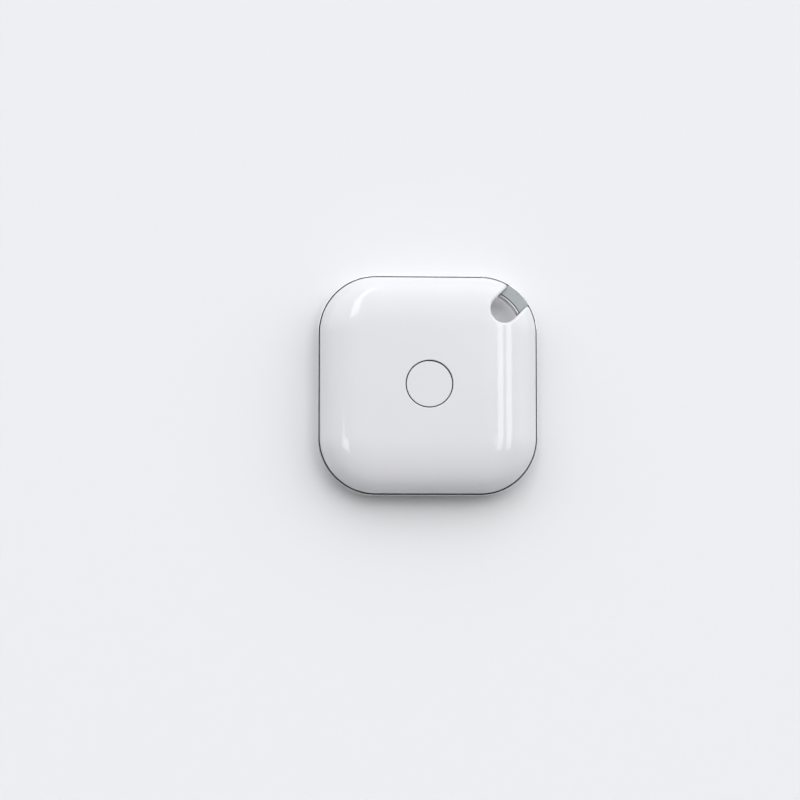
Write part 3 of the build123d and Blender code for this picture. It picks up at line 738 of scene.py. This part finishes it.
def add_board_print(metals):
    """Copper tracks under the lacquer, plated holes and test pads, and the ink outlines of the parts."""
    top = Board()
    under = Board(below=True)
    tracks, plating, ink = Shape(), Shape(), Shape()
    chip_low, chip_high = low_corner("bluetooth_chip"), high_corner("bluetooth_chip")
    switch_low, switch_high = low_corner("switch_base"), high_corner("switch_base")

    def plated_hole(board, place, radius=0.26):
        low_z, high_z = board.span(0, PAD_HEIGHT)
        bore = radius * 0.5
        plating.turned(place, ((bore, low_z), (radius, low_z), (radius, high_z), (bore, high_z)), 24)

    def track(board, start, end, holes=True):
        tracks.ribbon(dogleg(start, end), TRACK_WIDTH, *board.span(0, TRACK_HEIGHT))
        if holes:
            plated_hole(board, end)

    # A bundle of five runs from the radio chip to the switch and past it, to holes beside it.
    for lane in range(5):
        aside = lane - 2
        hole = (-4.2 + 0.5 * abs(aside), aside * 1.25)
        track(top, (chip_high.x + 0.25, aside * 0.8), hole)
        track(under, hole, (-7.4, -4.0 + 0.9 * lane), holes=False)
    # Each small part above and below the radio chip is fed from it.
    for low, high in solids_of("capacitors"):
        middle = (low + high) / 2
        if middle.x < chip_high.x + 2:
            edge = low.y - PAD_LENGTH if middle.y > 0 else high.y + PAD_LENGTH
            target = chip_high.y + 0.3 if middle.y > 0 else chip_low.y - 0.3
            if abs(edge - target) > 0.4:
                track(top, (middle.x, edge), ((middle.x * 2 + chip_low.x) / 3, target), holes=False)
        else:
            track(top, (low.x - PAD_LENGTH, middle.y), (low.x - 2.2, middle.y + 0.8))
    for low, high in solids_of("resistors"):
        middle = (low + high) / 2
        if middle.y < 0:
            track(top, (high.x + PAD_LENGTH, middle.y), (high.x + 1.6, middle.y + 0.9))
        else:
            track(top, (middle.x, high.y + PAD_LENGTH), (middle.x + 0.9, high.y + 2.0))
    # The aerial's feed runs through both inductors.
    coils = solids_of("inductors")
    antenna_end = high_corner("chip_antenna").x
    row_y = (coils[0][0].y + coils[0][1].y) / 2
    stops = [antenna_end] + [edge for low, high in coils for edge in (low.x, high.x)]
    for start, end in zip(stops[::2], stops[1::2]):
        track(top, (start + PAD_LENGTH, row_y), (end - PAD_LENGTH, row_y), holes=False)
    track(top, (stops[-1] + PAD_LENGTH, row_y), (stops[-1] + 1.8, row_y - 1.0))

    # Under the board: the buzzer's and the cell's feeds, and three round test pads.
    driver = (low_corner("buzzer_driver") + high_corner("buzzer_driver")) / 2
    diode = (low_corner("flyback_diode") + high_corner("flyback_diode")) / 2
    buzzer_high = high_corner("buzzer_case")
    track(under, (driver.x - 1.9, driver.y - 0.4), (buzzer_high.x + 0.4, driver.y - 1.2))
    track(under, (driver.x + 0.95, driver.y - 1.4), (diode.x - 1.7, diode.y - 1.2))
    track(under, (diode.x + 1.6, diode.y), (diode.x + 3.0, diode.y + 0.5))
    low_z, high_z = under.span(0, PAD_HEIGHT)
    for step in range(3):
        place = (diode.x + 3.2 + 1.5 * step, diode.y - 0.6)
        plating.turned(place, ((0, low_z), (0.5, low_z), (0.5, high_z), (0, high_z)), 32)
        track(under, (place[0], place[1] + 0.5), (place[0] + 0.5, place[1] + 1.5))

    # Ink outlines, with a dot at the first pin of the chips.
    ink_span = top.span(0, INK_HEIGHT)
    for low, high, room in (
        (chip_low, chip_high, 0.4),
        (switch_low, switch_high, 0.12),
        (low_corner("chip_antenna"), high_corner("chip_antenna"), 0.45),
        (low_corner("main_crystal"), high_corner("main_crystal"), 0.35),
        (low_corner("sleep_crystal"), high_corner("sleep_crystal"), 0.3),
    ):
        margin = Vector((room, room, 0))
        ink.outline(low - margin, high + margin, INK_WIDTH, *ink_span)
        dot = (low.x - room - 0.45, high.y + room - 0.1)
        ink.turned(dot, ((0, ink_span[0]), (0.16, ink_span[0]), (0.16, ink_span[1]), (0, ink_span[1])), 20)
    for node, room in (("buzzer_driver", 0.75), ("flyback_diode", 0.3)):
        margin = Vector((0.2, room, 0)) if node == "buzzer_driver" else Vector((0.9, room, 0))
        ink_low, ink_high = low_corner(node) - margin, high_corner(node) + margin
        ink.outline(ink_low, ink_high, INK_WIDTH, *under.span(0, INK_HEIGHT))

    # The aerial's printed conductor goes to and fro across the top of its ceramic.
    aerial = Shape()
    low, high = low_corner("chip_antenna"), high_corner("chip_antenna")
    turns = 9
    pitch = (high.x - low.x - 2.0) / turns
    route = []
    for step in range(turns + 1):
        x = low.x + 1.0 + step * pitch
        sides = (low.y + 0.3, high.y - 0.3) if step % 2 == 0 else (high.y - 0.3, low.y + 0.3)
        route += [(x, sides[0]), (x, sides[1])]
    aerial.ribbon(route, 0.2, high.z - 0.005, high.z + 0.02)
    aerial.finish("aerial_print", "front_half", "contact_metal", metals["tinned"])
    tracks.finish("board_tracks", "front_half", "board", metals["covered_copper"])
    plating.finish("board_plating", "front_half", "contact_metal", metals["gold"])
    ink.finish("board_ink", "front_half", "board", moulded("white_ink", (0.72, 0.73, 0.72), 0.6, 0.05))


# ================================ pieces that replace plain solids ================================


def add_dome(metals):
    """The switch's snap dome: a thin sprung disc with a dimple at its crown."""
    low, high = low_corner("switch_dome"), high_corner("switch_dome")
    rim, rise, sheet, dimple = (high.x - low.x) / 2, high.z - low.z, 0.06, 0.045
    upper, lower = [], []
    for step in range(17):
        share = step / 16
        crown = rise * (0.5 + 0.5 * cos(pi * share**1.15))
        sink = dimple * (0.5 + 0.5 * cos(pi * min(share / 0.24, 1)))
        height = low.z + max(crown - sink, 0) * (1 - sheet / rise)
        upper.append((rim * share, height + sheet))
        lower.append((rim * share, height))
    dome = Shape()
    dome.turned(((low.x + high.x) / 2, (low.y + high.y) / 2), upper + lower[::-1])
    piece = dome.finish("dome_sheet", "front_half", "spring_steel", metals["spring"])
    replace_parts(piece, "switch_dome")
    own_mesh(piece)


def add_coil(metals):
    """The buzzer's coil as wound wire: its outside and both ends follow the round turns."""
    low, high = low_corner("buzzer_coil"), high_corner("buzzer_coil")
    outer, inner, wire, turns = (high.x - low.x) / 2, 0.85, 0.1, 10
    profile = [(inner, low.z + wire / 2), (inner, high.z - wire / 2)]
    layers = int((outer - inner) / wire)

    def turn_of_wire(radius, height, first, last):
        for step in range(5):
            angle = radians(first + (last - first) * step / 4)
            profile.append((radius + wire / 2 * cos(angle), height + wire / 2 * sin(angle)))

    for layer in range(layers):
        turn_of_wire(inner + wire * (layer + 0.5), high.z - wire / 2, 170, 10)
    for step in range(1, turns - 1):
        turn_of_wire(outer - wire / 2, high.z - wire * (step + 0.5), 80, -80)
    for layer in range(layers - 1, -1, -1):
        turn_of_wire(inner + wire * (layer + 0.5), low.z + wire / 2, -10, -170)
    coil = Shape()
    coil.turned(((low.x + high.x) / 2, (low.y + high.y) / 2), profile, 48)
    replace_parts(coil.finish("coil_windings", "front_half", "coil_copper", metals["copper"]), "buzzer_coil")


def add_foam():
    """The foam disc under the coin cell: a low crown, a soft bulging edge and an open-celled face."""
    low, high = low_corner("cell_pad"), high_corner("cell_pad")
    radius, height = (high.x - low.x) / 2, high.z - low.z
    rings, pore = 44, 0.14
    profile = [(0, low.z)]
    profile += [(radius * share, low.z) for share in (0.5, 0.97)]
    profile += [(radius - 0.03, low.z + 0.2 * height), (radius, low.z + 0.5 * height)]
    profile += [
        (radius * (1 - step / rings), low.z + height * (0.98 - 0.12 * (1 - step / rings) ** 4))
        for step in range(1, rings + 1)
    ]
    foam = Shape()
    foam.turned(((low.x + high.x) / 2, (low.y + high.y) / 2), profile, 160)
    for vertex in foam.mesh.verts:
        if vertex.co.z > low.z + 0.7 * height:
            vertex.co.z -= 0.03 * abs(noise.noise(vertex.co / pore))
    material = moulded("foam", (0.025, 0.025, 0.027), 0.9, 0.12)
    piece = foam.finish("foam_pad", "back_half", "foam", material)
    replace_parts(piece, "cell_pad")


SCENE.view_settings.view_transform = "Standard"
add_camera()
light_room()
add_floor()
metals = make_metals()
dress_nodes(metals)
add_soldered_parts(metals)
add_board_print(metals)
add_dome(metals)
add_coil(metals)
add_foam()
